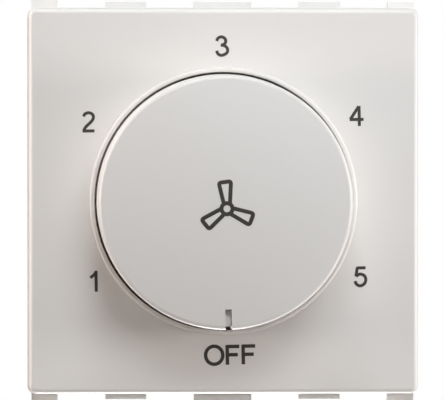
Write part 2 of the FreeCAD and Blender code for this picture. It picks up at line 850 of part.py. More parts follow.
# Knob: one hollow moulding with a hub, stiffening ribs and a pointer notch
def knob():
    body = new_body("knob")
    slope = s.knob_draft / (knob_face - knob_base)
    wall_top = s.knob_face_radius + slope * s.knob_face_wall - s.knob_wall
    rim = s.knob_edge_radius
    steepness = root(1 + slope * slope)
    rim_centre = s.knob_face_radius + rim * (slope - steepness)
    half_tilt = s.knob_crown / rim_centre
    spread = 1 + half_tilt * half_tilt
    tilt_sine, tilt_cosine = 2 * half_tilt / spread, (1 - half_tilt * half_tilt) / spread
    profile = [
        (0, knob_top),
        (rim_centre + rim * tilt_sine, knob_face - rim + rim * tilt_cosine),
        (rim_centre + rim / steepness, knob_face - rim + rim * slope / steepness),
        (knob_base_radius, knob_base),
        (knob_base_radius - s.knob_wall, knob_base),
        (wall_top, knob_inside),
        (s.hub_radius, knob_inside),
        (s.hub_radius, hub_start),
        (0, hub_start),
    ]
    crown_radius = rim_centre / tilt_sine + rim
    turned(body, profile, bends=[(0, crown_radius), (1, rim)])
    rib_end = s.knob_face_radius - s.knob_wall / 2
    rib = Drawing(body, offset=hub_start + s.rib_set_back)
    rib.rectangle(s.hub_radius - s.rib_thickness, -s.rib_thickness / 2, rib_end, s.rib_thickness / 2)
    first = pad(body, rib, knob_inside - hub_start - s.rib_set_back + s.knob_face_wall / 4)
    around(body, first, s.rib_count)
    bore = spindle_section(body, hub_start, s.spindle_radius + s.bore_gap, s.bore_gap)
    pocket(body, bore, knob_inside - hub_start, Reversed=True)
    grip_room = Drawing(body, offset=hub_start)
    flat = s.spindle_radius - s.spindle_flat
    half = s.grip_pocket_width / 2
    grip_room.rectangle(-half, flat - s.spindle_flat, half, flat + s.grip_pocket_depth)
    pocket(body, grip_room, s.spindle_flat_length, Reversed=True)
    notch = Drawing(body, offset=knob_top)
    pointing = downward + s.notch_turn
    outside = knob_base_radius + s.cut_margin
    notch.bar(s.knob_face_radius - s.notch_length, outside, s.notch_width, pointing)
    pocket(body, notch, s.knob_crown + s.notch_depth)
    side_notch = Drawing(body, offset=knob_top)
    side_notch.bar(s.knob_face_radius - s.notch_side_depth, outside, s.notch_width, pointing)
    pocket(body, side_notch, knob_top - knob_base)
    return body


def spindle_section(body, offset, radius, flat_gap):
    """The spindle's round section with one flat on its upper side."""
    flat = s.spindle_radius - s.spindle_flat + flat_gap
    drawing = Drawing(body, offset=offset)
    angle = math.degrees(math.asin(flat.value / radius.value))
    arc = drawing.arc(0, 0, radius, 180 - angle, 360 + angle)
    centre = FreeCAD.Vector(0, flat.value, 0)
    half = FreeCAD.Vector(math.sqrt(radius.value**2 - flat.value**2), 0, 0)
    line = drawing.sketch.addGeometry(Part.LineSegment(centre - half, centre + half))
    drawing.join(line, 1, arc, 1)
    drawing.join(line, 2, arc, 2)
    drawing.sketch.addConstraint(Sketcher.Constraint("Horizontal", line))
    drawing.hold("DistanceY", -1, 1, line, 1, flat)
    return drawing


# Grip spring: a bowed leaf in the hub that presses on the spindle's flat
def knob_grip_spring():
    body = new_body("knob_grip_spring")
    flat = s.spindle_radius - s.spindle_flat
    roof = flat + s.grip_pocket_depth
    start = -hub_start - s.running_gap
    end = -hub_start - s.spindle_flat_length + s.running_gap
    middle = (start + end) / 2
    low = flat + s.running_gap
    high = roof - s.running_gap
    leaf = [
        (start, high - s.grip_thickness),
        (middle, low),
        (end, high - s.grip_thickness),
        (end, high),
        (middle, low + s.grip_thickness),
        (start, high),
    ]
    width = s.grip_pocket_width - 2 * s.running_gap
    profile = Drawing(body, "YZ_Plane", offset=-width / 2).polygon(leaf)
    pad(body, profile, width)
    return body


# Spindle: a turned metal shaft with a flat for the knob, a groove for its clip, a thrust collar,
# a square that drives the detent wheel and a pivot that runs in the switch's floor
def spindle():
    body = new_body("spindle")
    tip = knob_inside - s.spindle_tip_gap
    edge = s.spindle_tip_gap
    shaft = [
        (0, tip),
        (s.spindle_radius - edge, tip),
        (s.spindle_radius, tip - edge),
        (s.spindle_radius, clip_front + s.running_gap),
        (s.groove_radius, clip_front + s.running_gap),
        (s.groove_radius, clip_back - s.running_gap),
        (s.spindle_radius, clip_back - s.running_gap),
        (s.spindle_radius, collar_front),
        (s.collar_radius, collar_front),
        (s.collar_radius, collar_back),
        (0, collar_back),
    ]
    turned(body, shaft)
    square = Drawing(body, offset=disc_back).box(0, 0, s.drive_side, s.drive_side)
    pad(body, square, collar_back - disc_back)
    pivot = Drawing(body, offset=cup_floor - s.pivot_depth).circle(0, 0, s.pivot_radius)
    pad(body, pivot, disc_back - cup_floor + s.pivot_depth)
    flat = Drawing(body, offset=tip)
    side = s.spindle_radius - s.spindle_flat
    flat.rectangle(-s.spindle_radius, side, s.spindle_radius, s.spindle_radius + s.spindle_flat)
    pocket(body, flat, tip - hub_start)
    return body


# Spindle clip: a stamped spring clip in the groove, which keeps the spindle in its bushing
def spindle_clip():
    body = new_body("spindle_clip")
    inner = s.clip_radius - s.clip_band
    band = Drawing(body, offset=clip_back).circle(0, 0, s.clip_radius).circle(0, 0, inner)
    pad(body, band, s.clip_thickness)
    prong = Drawing(body, offset=clip_back)
    half = s.clip_band / 2
    prong.rectangle(-half, s.groove_radius + s.running_gap, half, inner + half)
    first = pad(body, prong, s.clip_thickness)
    pattern = around(body, first, 3, 180.0)
    pattern.Reversed = True
    mouth = Drawing(body, offset=clip_front)
    mouth.rectangle(0, -s.clip_mouth / 2, s.clip_radius + s.cut_margin, s.clip_mouth / 2)
    pocket(body, mouth, s.clip_thickness)
    return body


def rivet_places():
    return [(across * rivet_place, side * rivet_place) for across in sides for side in sides]


# Switch cover: a moulded plate that closes the switch, with the spindle's bushing
def switch_cover():
    body = new_body("switch_cover")
    plate = Drawing(body, offset=cover_back).box(0, 0, switch_side, switch_side)
    pad(body, plate, s.cover_thickness)
    round_edges(body, s.switch_corner, runs_deep)
    bushing = Drawing(body, offset=cover_front).circle(0, 0, s.bushing_radius)
    pad(body, bushing, s.bushing_height - cover_front)
    bore = Drawing(body, offset=s.bushing_height).circle(0, 0, s.spindle_radius + s.running_gap)
    pocket(body, bore, s.bushing_height - cover_back)
    holes = Drawing(body, offset=cover_front)
    for place in rivet_places():
        holes.circle(*place, s.rivet_radius + s.rivet_hole_gap)
    pocket(body, holes, s.cover_thickness)
    return body


# Switch base: a moulded cup with corner blocks, the slots that hold the detent spring, the stop
# that ends the turn, the pivot hole and the openings for the contact tags
def switch_base():
    body = new_body("switch_base")
    outline = Drawing(body, offset=cup_back).box(0, 0, switch_side, switch_side)
    pad(body, outline, s.switch_depth)
    round_edges(body, s.switch_corner, runs_deep)
    wide = cavity_half
    narrow = wheel_well
    cross = [
        (wide, narrow),
        (narrow, narrow),
        (narrow, wide),
        (-narrow, wide),
        (-narrow, narrow),
        (-wide, narrow),
        (-wide, -narrow),
        (-narrow, -narrow),
        (-narrow, -wide),
        (narrow, -wide),
        (narrow, -narrow),
        (wide, -narrow),
    ]
    pocket(body, Drawing(body, offset=cover_back).polygon(cross), s.switch_depth - s.switch_floor)
    spring_slots = Drawing(body, offset=cover_back)
    left = -spring_place - s.spring_thickness - s.spring_slot_gap
    right = -spring_place + s.spring_slot_gap
    end = spring_half_length + s.spring_slot_gap
    for side in sides:
        spring_slots.rectangle(left, side * (narrow - s.spring_slot_gap), right, side * end)
    pocket(body, spring_slots, cover_back - wheel_back)
    stop_middle = downward + s.stop_lug_half_angle + s.stop_post_half_angle + s.stop_play
    stop = Drawing(body, offset=cup_floor)
    stop.sector(stop_post_inner, stop_post_outer, stop_middle, s.stop_post_half_angle)
    pad(body, stop, wheel_back - cup_floor - s.spring_slot_gap)
    pivot = Drawing(body, offset=cup_floor).circle(0, 0, s.pivot_radius + s.running_gap)
    pocket(body, pivot, s.pivot_depth + s.running_gap)
    holes = Drawing(body, offset=cover_back)
    for place in rivet_places():
        holes.circle(*place, s.rivet_radius + s.rivet_hole_gap)
    pocket(body, holes, s.switch_depth)
    feet = Drawing(body, offset=board_front)
    for across in sides:
        for side in sides:
            feet.circle(across * foot_place_across, side * s.foot_place_up, s.foot_radius)
    pad(body, feet, s.board_gap)
    width = s.tag_width + 2 * s.tag_hole_gap
    thickness = s.tag_thickness + 2 * s.tag_hole_gap
    common = Drawing(body, offset=cup_floor)
    common.box(0, -(s.ring_inner + s.ring_outer) / 2, width, thickness)
    pocket(body, common, s.switch_floor)
    tag = Drawing(body, offset=cup_floor).box(0, tag_place, width, thickness)
    first = pocket(body, tag, s.switch_floor)
    step = 360 / s.detent_count
    both_ways = body.newObject("PartDesign::MultiTransform", "TagHoles")
    both_ways.Originals = [first]
    steps = []
    for backwards in (False, True):
        fan = body.newObject("PartDesign::PolarPattern", "TagFan")
        fan.Axis = (origin_feature(body, "Y_Axis"), [""])
        fan.Reversed = backwards
        bind(fan, "Angle", step * ((s.contact_count - 1) / 2))
        bind(fan, "Occurrences", (s.contact_count + 1) / 2)
        steps.append(fan)
    both_ways.Transformations = steps
    body.Tip = both_ways
    return body


# Rivets: four rivets through the switch's corners, one group
def switch_rivets():
    body = new_body("switch_rivets")
    ends = (
        (cup_back - s.rivet_head_height, s.rivet_head_radius, s.rivet_head_height),
        (cup_back, s.rivet_radius, cover_front - cup_back),
        (cover_front, s.rivet_head_radius, s.rivet_head_height),
    )
    for start, radius, length in ends:
        circles = Drawing(body, offset=start)
        for place in rivet_places():
            circles.circle(*place, radius)
        pad(body, circles, length)
    return body


# Detent wheel: a moulded wheel with a notch for each position, a lug for the end stop, a square
# bore for the spindle and two pegs that hold the wiper
def detent_wheel():
    body = new_body("detent_wheel")
    wheel = Drawing(body, offset=wheel_back).circle(0, 0, s.wheel_radius)
    pad(body, wheel, s.wheel_thickness)
    disc = Drawing(body, offset=disc_back).circle(0, 0, s.hub_disc_radius)
    pad(body, disc, s.hub_disc_thickness)
    lug = Drawing(body, offset=disc_back)
    root = s.hub_disc_radius - s.cut_margin
    lug.sector(root, stop_lug_radius, downward, s.stop_lug_half_angle)
    pad(body, lug, s.hub_disc_thickness)
    notch = Drawing(body, offset=wheel_front).circle(-detent_centre, 0, s.detent_radius)
    first = pocket(body, notch, s.wheel_thickness)
    around(body, first, s.detent_count)
    side = s.drive_side + 2 * s.running_gap
    bore = Drawing(body, offset=wheel_front).box(0, 0, side, side)
    pocket(body, bore, wheel_front - disc_back)
    pegs = Drawing(body, offset=disc_back - s.peg_length)
    for across in sides:
        pegs.circle(across * s.peg_place, 0, s.peg_radius)
    pad(body, pegs, s.peg_length)
    return body


# Detent spring: a leaf whose ends stand in the base's corner slots and whose nose drops into a
# notch of the wheel at each position
def detent_spring():
    body = new_body("detent_spring")
    near = -spring_place
    far = near - s.spring_thickness
    tip = -(detent_centre - s.detent_radius + s.nose_gap)
    end = spring_half_length
    foot = s.nose_foot
    inner = s.nose_half_width
    leaf = [
        (near, -end),
        (near, -foot),
        (tip, -inner),
        (tip, inner),
        (near, foot),
        (near, end),
        (far, end),
        (far, foot),
        (tip - s.spring_thickness, inner / 2),
        (tip - s.spring_thickness, -inner / 2),
        (far, -foot),
        (far, -end),
    ]
    start = wheel_back + (s.wheel_thickness - s.spring_width) / 2
    pad(body, Drawing(body, offset=start).polygon(leaf), s.spring_width)
    return body


# Wiper: a bent bronze strip under the wheel that joins the common ring to one contact at a time
def contact_wiper():
    body = new_body("contact_wiper")
    front = disc_back
    back = disc_back - s.wiper_thickness
    plate = Drawing(body, offset=back)
    plate.box(0, 0, 2 * s.wiper_half_length, 2 * s.wiper_half_width)
    pad(body, plate, s.wiper_thickness)
    low = contact_front + s.wiper_lift
    for side, reach in ((-1, tag_place), (1, (s.ring_inner + s.ring_outer) / 2)):
        start = s.wiper_half_width - s.wiper_thickness
        arm = [
            (start, front),
            (s.wiper_half_width, front),
            (reach - s.wiper_toe / 2, low + s.wiper_thickness),
            (reach + s.wiper_toe / 2, low + s.wiper_thickness),
            (reach + s.wiper_toe, low + 2 * s.wiper_thickness),
            (reach + s.wiper_toe, low + s.wiper_thickness),
            (reach + s.wiper_toe / 2, low),
            (reach - s.wiper_toe / 2, low),
            (s.wiper_half_width, back),
            (start, back),
        ]
        drawing = Drawing(body, "YZ_Plane", offset=-s.wiper_arm_width / 2)
        drawing.polygon([(-height, side * out) for out, height in arm])
        pad(body, drawing, s.wiper_arm_width)
    holes = Drawing(body, offset=front).circle(0, 0, s.pivot_radius + 2 * s.running_gap)
    for across in sides:
        holes.circle(across * s.peg_place, 0, s.peg_radius + s.running_gap)
    pocket(body, holes, s.wiper_thickness)
    return body


def tag(body, place):
    """A contact's tag, through the base's floor and the board."""
    drawing = Drawing(body, offset=tag_back).box(0, place, s.tag_width, s.tag_thickness)
    pad(body, drawing, cup_floor - tag_back)


# Speed contacts: five stamped brass sectors on the base's floor, one for each speed
def speed_contact(number):
    body = new_body(f"speed_contact_{number}")
    drawing = Drawing(body, offset=cup_floor)
    drawing.sector(s.contact_inner, s.contact_outer, downward, s.contact_half_angle)
    pad(body, drawing, s.contact_thickness)
    tag(body, -tag_place)
    turn = number * 360 / s.detent_count.value
    body.Placement.Rotation = FreeCAD.Rotation(FreeCAD.Vector(0, 1, 0), turn)
    return body


# Common contact: the stamped brass ring that the wiper's short arm runs on
def common_contact():
    body = new_body("common_contact")
    ring = Drawing(body, offset=cup_floor).circle(0, 0, s.ring_outer).circle(0, 0, s.ring_inner)
    pad(body, ring, s.contact_thickness)
    tag(body, -(s.ring_inner + s.ring_outer) / 2)
    return body


# Circuit board: drilled for its screws and for every tag, leg and lead
def circuit_board():
    body = new_body("circuit_board")
    board = Drawing(body, offset=board_back).box(0, 0, board_width, board_height)
    pad(body, board, s.board_thickness)
    round_edges(body, s.switch_corner, runs_deep)
    holes = Drawing(body, offset=board_front)
    lead_hole = s.lead_radius + s.lead_hole_gap
    for across in sides:
        for side in sides:
            holes.circle(across * boss_place_across, side * boss_place_up, s.board_screw_hole)
        holes.circle(across * run_lead_place, run_capacitor_place, lead_hole)
        holes.circle(across * start_lead_place, start_capacitor_place, lead_hole)
        for place, length in ((surge_place, s.surge_length), (bleed_place, s.bleed_length)):
            for side in sides:
                up = place + side * (length / 2 + s.resistor_lead_reach)
                holes.circle(across * resistor_place, up, s.resistor_lead_radius + s.lead_hole_gap)
        width = s.pillar_leg_width + 2 * s.tag_hole_gap
        thickness = s.pillar_leg_thickness + 2 * s.tag_hole_gap
        for leg in sides:
            middle = across * pillar_place + leg * s.pillar_leg_place
            holes.box(middle, pillar_middle - s.pillar_leg_drop, width, thickness)
    tag_hole = s.tag_width / 2 + s.tag_hole_gap + s.lead_hole_gap
    holes.circle(0, -(s.ring_inner + s.ring_outer) / 2, tag_hole)
    for number in range(1, int(s.contact_count.value) + 1):
        angle = downward - number * (360 / s.detent_count)
        holes.circle(tag_place * cosine(angle), tag_place * sine(angle), tag_hole)
    pocket(body, holes, s.board_thickness)
    return body


# Board screws: four slotted self-tapping screws through the board into the bosses, one group
def board_screws():
    body = new_body("board_screws")
    shanks = Drawing(body, offset=board_back - s.board_screw_length)
    heads = Drawing(body, offset=board_front)
    slots = Drawing(body, offset=board_front + s.board_screw_head_height)
    for across in sides:
        for side in sides:
            place = across * boss_place_across, side * boss_place_up
            shanks.circle(*place, s.board_screw_radius)
            heads.circle(*place, s.board_screw_head)
            slots.box(*place, 2 * s.board_screw_head + s.cut_margin, s.board_screw_slot)
    pad(body, shanks, s.board_thickness + s.board_screw_length)
    pad(body, heads, s.board_screw_head_height)
    pocket(body, slots, s.board_screw_head_height / 2)
    return body


# Capacitors: boxed film capacitors behind the board, each with two leads
def capacitor(name, width, height, depth, up, lead_place):
    body = new_body(name)
    case = Drawing(body, offset=capacitor_front - depth).box(0, up, width, height)
    pad(body, case, depth)
    round_edges(body, s.capacitor_edge, lambda edge: not lies_at(edge, capacitor_front))
    leads = Drawing(body, offset=capacitor_front)
    for across in sides:
        leads.circle(across * lead_place, up, s.lead_radius)
    pad(body, leads, board_front + s.lead_stub - capacitor_front)
    return body


# Resistors: each lies along the board's side edge, its leads bent into the board
def resistor(name, side, radius, length, up):
    body = new_body(name)
    half = length / 2
    waist = radius - s.resistor_waist
    cap = half - s.resistor_cap_length
    outline = [
        (0, -half),
        (radius, -half),
        (radius, -cap),
        (waist, -cap + s.resistor_waist),
        (waist, cap - s.resistor_waist),
        (radius, cap),
        (radius, half),
        (0, half),
    ]
    profile = Drawing(body).polygon(outline)
    settings = {"ReferenceAxis": (profile.sketch, ["V_Axis"]), "Angle": 360.0}
    add_feature(body, "Revolution", profile, settings)
    reach = half + s.resistor_lead_reach
    end = s.resistor_lift + s.board_thickness + s.lead_stub
    bend = s.lead_bend_radius
    path = Drawing(body, "YZ_Plane")
    along = path.straight((0, half - bend / 2), (0, reach - bend))
    down = path.straight((-bend, reach), (-end, reach))
    centre = FreeCAD.Vector(-bend.value, (reach - bend).value, 0)
    circle = Part.Circle(centre, FreeCAD.Vector(0, 0, 1), bend.value)
    corner = path.sketch.addGeometry(Part.ArcOfCircle(circle, 0, math.pi / 2))
    path.hold("Radius", corner, bend)
    path.join(corner, 1, along, 2)
    path.join(corner, 2, down, 1)
    section = Drawing(body, offset=end).circle(0, reach, s.resistor_lead_radius)
    lead = body.newObject("PartDesign::AdditivePipe", name + "Lead")
    lead.Profile = section.sketch
    lead.Spine = path.sketch
    body.Tip = lead
    mirrored(body, [lead], "XY_Plane")
    place = side * resistor_place, s.resistor_lift - board_back, up
    for axis, size in zip("xyz", place):
        bind(body, ".Placement.Base." + axis, size)
    return body


# Terminals: brass pillars behind the board, each with a cross bore for the wire, a tapped hole
# for its screw and two legs soldered into the board
def terminal(name, side):
    body = new_body(name)
    across = side * pillar_place
    block = Drawing(body, offset=pillar_back).box(across, pillar_middle, s.pillar_width, s.pillar_height)
    pad(body, block, pillar_depth)
    round_edges(body, s.pillar_edge, runs_deep, "Chamfer")
    legs = Drawing(body, offset=board_back)
    for leg in sides:
        middle = across + leg * s.pillar_leg_place
        up = pillar_middle - s.pillar_leg_drop
        legs.box(middle, up, s.pillar_leg_width, s.pillar_leg_thickness)
    pad(body, legs, s.board_thickness + s.lead_stub)
    wire = Drawing(body, "XY_Plane", offset=-tub_height).circle(across, -wire_height, s.wire_radius)
    pocket(body, wire, 2 * tub_height, Reversed=True)
    tapped = Drawing(body, offset=pillar_back)
    tapped.circle(across, pillar_middle, s.screw_radius + s.screw_hole_gap)
    pocket(body, tapped, wire_height - pillar_back, Reversed=True)
    return body


# Terminal screws: slotted screws of plated steel, backed off so that the wire bores are open
def terminal_screw(name, side):
    body = new_body(name)
    edge = s.screw_tip
    profile = [
        (0, screw_tip_height),
        (s.screw_radius - edge, screw_tip_height),
        (s.screw_radius, screw_tip_height - edge),
        (s.screw_radius, screw_seat),
        (s.screw_head_radius, screw_seat),
        (s.screw_head_radius, screw_seat - s.screw_head_height + edge),
        (s.screw_head_radius - edge, screw_seat - s.screw_head_height),
        (0, screw_seat - s.screw_head_height),
    ]
    turned(body, profile)
    slot = Drawing(body, offset=screw_seat - s.screw_head_height)
    slot.box(0, 0, 2 * s.screw_head_radius + s.cut_margin, s.screw_slot_width)
    pocket(body, slot, s.screw_slot_depth, Reversed=True)
    for path, size in ((".Placement.Base.x", side * pillar_place), (".Placement.Base.z", pillar_middle)):
        bind(body, path, size)
    return body


parts = [
    rear_housing(),
    front_plate(),
    knob(),
    knob_grip_spring(),
    spindle(),
    spindle_clip(),
    switch_cover(),
    switch_base(),
    switch_rivets(),
    detent_wheel(),
    detent_spring(),
    contact_wiper(),
    common_contact(),
    circuit_board(),
    board_screws(),
    capacitor(
        "run_capacitor",
        run_capacitor_width,
        s.run_capacitor_height,
        run_capacitor_depth,
        run_capacitor_place,
        run_lead_place,
    ),
    capacitor(
        "start_capacitor",
        start_capacitor_width,
        s.start_capacitor_height,
        start_capacitor_depth,
        start_capacitor_place,
        start_lead_place,
    ),
    terminal("line_terminal", -1),
    terminal("load_terminal", 1),
    terminal_screw("line_terminal_screw", -1),
    terminal_screw("load_terminal_screw", 1),
]
for number in range(1, SIZES["contact_count"] + 1):
    parts.append(speed_contact(number))
for side, letter in ((-1, "a"), (1, "b")):
    parts.append(resistor("surge_resistor_" + letter, side, s.surge_radius, s.surge_length, surge_place))
    parts.append(resistor("bleed_resistor_" + letter, side, s.bleed_radius, s.bleed_length, bleed_place))

doc.recompute()
os.makedirs("parts", exist_ok=True)
for thing in doc.Objects:
    if "Invalid" in thing.State or "Error" in thing.State:
        raise RuntimeError(f"{thing.Label} failed: {thing.State}")
for part in parts:
    shape = part.Shape
    if shape.isNull() or not shape.isValid() or not shape.Solids:
        raise RuntimeError(f"{part.Label} has no valid solid")
    print(part.Label, len(shape.Solids), round(shape.Volume, 2))
    shape.exportStep(f"parts/{part.Label}.step")
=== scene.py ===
import math

import bpy
import numpy as np
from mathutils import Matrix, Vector


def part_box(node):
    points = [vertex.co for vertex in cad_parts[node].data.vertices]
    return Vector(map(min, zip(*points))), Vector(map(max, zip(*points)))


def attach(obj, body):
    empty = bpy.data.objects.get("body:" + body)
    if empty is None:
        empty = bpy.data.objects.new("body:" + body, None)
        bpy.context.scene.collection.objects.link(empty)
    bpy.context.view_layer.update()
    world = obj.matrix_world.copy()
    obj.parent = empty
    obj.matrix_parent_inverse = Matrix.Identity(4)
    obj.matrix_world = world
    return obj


# A two-module fan speed control, front towards -Y, clipped into a wall frame at Y = 0. Lengths
# written in millimetres are turned into metres by MM.
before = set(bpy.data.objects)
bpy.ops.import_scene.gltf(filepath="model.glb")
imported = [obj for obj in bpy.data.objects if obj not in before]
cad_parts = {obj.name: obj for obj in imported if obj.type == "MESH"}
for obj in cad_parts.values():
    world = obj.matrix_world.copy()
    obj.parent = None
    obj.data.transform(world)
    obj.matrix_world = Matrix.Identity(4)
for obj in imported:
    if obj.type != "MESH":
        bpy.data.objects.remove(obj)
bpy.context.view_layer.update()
MM = 0.001


# Housing: one white polycarbonate moulding that holds everything behind the plate. The tool's
# fine spark-eroded grain leaves it matt, and the flange and its tabs come with it in one shot.
class Shade:
    """A socket that carries a number or a colour. Arithmetic on numbers adds the Math nodes."""

    def __init__(self, finish, socket):
        self.finish = finish
        self.socket = socket

    def worked(self, operation, *numbers):
        return self.finish.node("Math", {"operation": operation}, dict(enumerate(numbers)))

    def __add__(self, other):
        return self.worked("ADD", self, other)

    def __radd__(self, other):
        return self.worked("ADD", other, self)

    def __sub__(self, other):
        return self.worked("SUBTRACT", self, other)

    def __rsub__(self, other):
        return self.worked("SUBTRACT", other, self)

    def __mul__(self, other):
        return self.worked("MULTIPLY", self, other)

    def __rmul__(self, other):
        return self.worked("MULTIPLY", other, self)

    def __pow__(self, other):
        return self.worked("POWER", self, other)

    def __gt__(self, other):
        return self.worked("GREATER_THAN", self, other)

    def __lt__(self, other):
        return self.worked("LESS_THAN", self, other)

    def __abs__(self):
        return self.worked("ABSOLUTE", self)


class Finish:
    """A material with one Principled shader. Its constant sockets are given at the start."""

    def __init__(self, name, constants):
        self.material = bpy.data.materials.new(name)
        self.material.use_nodes = True
        self.tree = self.material.node_tree
        self.shader = self.tree.nodes["Principled BSDF"]
        for socket, value in constants.items():
            self.shader.inputs[socket].default_value = value

    def node(self, kind, settings, sockets, output=0):
        """Adds a node: its settings are set first, then the value or link of each socket."""
        node = self.tree.nodes.new("ShaderNode" + kind)
        for name, value in settings.items():
            if name == "stops":
                self.set_stops(node.color_ramp, value)
            else:
                setattr(node, name, value)
        for key, value in sockets.items():
            self.join(value, node.inputs[key])
        return Shade(self, node.outputs[output])

    @staticmethod
    def set_stops(ramp, stops):
        ramp.interpolation = "CONSTANT"
        for place, colour in stops[1:-1]:
            ramp.elements.new(place).color = colour
        for element, (place, colour) in zip(ramp.elements, stops):
            element.position, element.color = place, colour

    def join(self, value, socket):
        if isinstance(value, Shade):
            self.tree.links.new(value.socket, socket)
        else:
            socket.default_value = value

    def feed(self, socket, value):
        self.join(value, self.shader.inputs[socket])

    def place(self, centre=(0, 0, 0), stretch=(1, 1, 1)):
        """The point on the piece, in metres from a centre, stretched along each axis."""
        point = self.node("TexCoord", {}, {}, "Object")
        moved = self.node("Mapping", {}, {"Vector": point, "Location": [-c for c in centre]})
        return self.node("Mapping", {}, {"Vector": moved, "Scale": stretch})

    def axis(self, point, name):
        return self.node("SeparateXYZ", {}, {0: point}, name)

    def cloud(self, point, scale, detail=2.0):
        """Soft noise between 0 and 1, with this many blotches to the metre."""
        return self.node("TexNoise", {}, {"Vector": point, "Scale": scale, "Detail": detail}, "Fac")

    def mixed(self, share, first, second):
        return self.node("Mix", {"data_type": "RGBA"}, {0: share, 6: first, 7: second}, 2)

    def relief(self, height, depth, base=None):
        """Bumps of this depth in metres, from a height between 0 and 1, on a base normal."""
        sockets = {"Height": height, "Distance": depth}
        if base:
            sockets["Normal"] = base
        self.feed("Normal", self.node("Bump", {}, sockets))

    def flat_middle(self, point, radius):
        """The normal of a turned face: that of the facets within a radius of its axis, Y, since
        the one point on the axis has no good normal, and the smooth one elsewhere."""
        across, along = self.axis(point, "X"), self.axis(point, "Z")
        near = across * across + along * along < radius ** 2
        kinds = ("Normal", "True Normal")
        smooth, facets = (self.node("NewGeometry", {}, {}, kind) for kind in kinds)
        return self.node("Mix", {"data_type": "VECTOR"}, {0: near, 4: smooth, 5: facets}, 1)


CLOUDS_PER_METRE = 70
PLASTIC_IOR = 1.58


def moulding(name, pale, deep, gloss, grain_pitch, grain_depth, middle=0):
    """Moulded plastic: two shades clouded into each other, and the grain of the tool. A turned
    face is given the radius of its middle facets."""
    finish = Finish(name, {"IOR": PLASTIC_IOR})
    point = finish.place()
    clouded = finish.cloud(point, CLOUDS_PER_METRE)
    grain = finish.cloud(point, 1 / grain_pitch, 3.0)
    finish.feed("Base Color", finish.mixed(clouded, pale, deep))
    finish.feed("Roughness", gloss - 0.03 + 0.04 * clouded + 0.03 * grain)
    base = finish.flat_middle(point, middle) if middle else None
    finish.relief(grain, grain_depth, base)
    return finish.material


def dress(material, *nodes):
    """Gives CAD nodes their material."""
    for name in nodes:
        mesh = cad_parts[name].data
        mesh.materials.clear()
        mesh.materials.append(material)


housing_white = moulding(
    "housing_white",
    (0.83, 0.82, 0.8, 1),
    (0.8, 0.79, 0.77, 1),
    gloss=0.52,
    grain_pitch=0.18 * MM,
    grain_depth=0.004 * MM,
)
dress(housing_white, "rear_housing")


# Terminals: two pillars sawn from drawn brass bar, cross-bored for the wire, tapped for the
# screw. The drawing die leaves fine lines along the bar, and the brass has begun to dull.
LINE_RELIEF = 0.003 * MM


def drawn_metal(name, bright, dull, gloss, stretch, dulled):
    """Metal with fine lines along one axis and a thin, blotchy tarnish."""
    finish = Finish(name, {"Metallic": 1.0})
    lines = finish.cloud(finish.place(stretch=stretch), 5000)
    tarnish = finish.cloud(finish.place(), 350, 4.0) ** 2
    finish.feed("Base Color", finish.mixed(dulled * tarnish, bright, dull))
    finish.feed("Roughness", gloss + 0.12 * tarnish + 0.08 * lines)
    finish.relief(lines, LINE_RELIEF)
    return finish.material


BRASS = (0.79, 0.58, 0.26, 1)
TARNISHED = (0.42, 0.27, 0.12, 1)
pillar_brass = drawn_metal(
    "pillar_brass", BRASS, TARNISHED, gloss=0.24, stretch=(1, 0.05, 1), dulled=0.7
)
dress(pillar_brass, "line_terminal", "load_terminal")


# Terminal screws: turned from steel, zinc-plated, with a slotted head that is reached from the
# back. The thread shows on the shank, and the facing tool has left rings on the head.
ZINC = (0.68, 0.68, 0.66, 1)
RING_PITCH = 0.12 * MM
THREAD_RELIEF = 0.25 * MM
WHOLE_TURNS = 50.0


def threaded_steel(name, centre, shank, pitch):
    """Plated steel: a thread on what lies within the shank's radius, rings on what is outside.
    The whole turns that are added keep the thread's phase above zero."""
    finish = Finish(name, {"Metallic": 1.0})
    point = finish.place(centre)
    x, y, z = (finish.axis(point, a) for a in "XYZ")
    radius = (x * x + z * z) ** 0.5
    turn = finish.node("Math", {"operation": "ARCTAN2"}, {0: z, 1: x}) * (0.5 / math.pi)
    phase = finish.node("Math", {"operation": "FRACT"}, {0: y * (1 / pitch) + turn + WHOLE_TURNS})
    thread = abs(phase * 2.0 - 1.0)
    rings = finish.node("Math", {"operation": "SINE"}, {0: radius * (2 * math.pi / RING_PITCH)})
    on_shank = radius < shank
    spots = finish.cloud(point, 900, 3.0)
    height = on_shank * thread + (1 - on_shank) * (rings * 0.01 + 0.5)
    finish.feed("Base Color", finish.mixed(spots, ZINC, (0.6, 0.61, 0.6, 1)))
    finish.feed("Roughness", 0.24 + 0.14 * spots)
    finish.relief(height, THREAD_RELIEF)
    return finish.material


SCREW_SHANK = 1.95 * MM
THREAD_PITCH = 0.7 * MM
for name in ("line_terminal_screw", "load_terminal_screw"):
    low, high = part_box(name)
    dress(threaded_steel(name + "_zinc", (low + high) / 2, SCREW_SHANK, THREAD_PITCH), name)


# Circuit board: brown phenolic paper laminate. The side that faces the switch carries the copper
# under a green lacquer, and the punched edges show the bare, speckled paper.
LACQUER_DEPTH = 0.02 * MM


def laminate():
    """Speckled brown laminate, lacquered green where it faces the switch."""
    finish = Finish("laminate", {"IOR": 1.55})
    point = finish.place()
    lacquered = finish.axis(point, "Y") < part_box("circuit_board")[0].y + LACQUER_DEPTH
    paper = finish.cloud(finish.place(stretch=(1, 1, 0.4)), 1500, 4.0)
    brown = finish.mixed(paper, (0.36, 0.2, 0.08, 1), (0.26, 0.135, 0.05, 1))
    finish.feed("Base Color", finish.mixed(lacquered, brown, (0.03, 0.15, 0.06, 1)))
    finish.feed("Roughness", 0.55 - 0.3 * lacquered + 0.1 * paper)
    finish.relief(paper * (1 - 0.8 * lacquered), 0.01 * MM)
    return finish.material


dress(laminate(), "circuit_board")


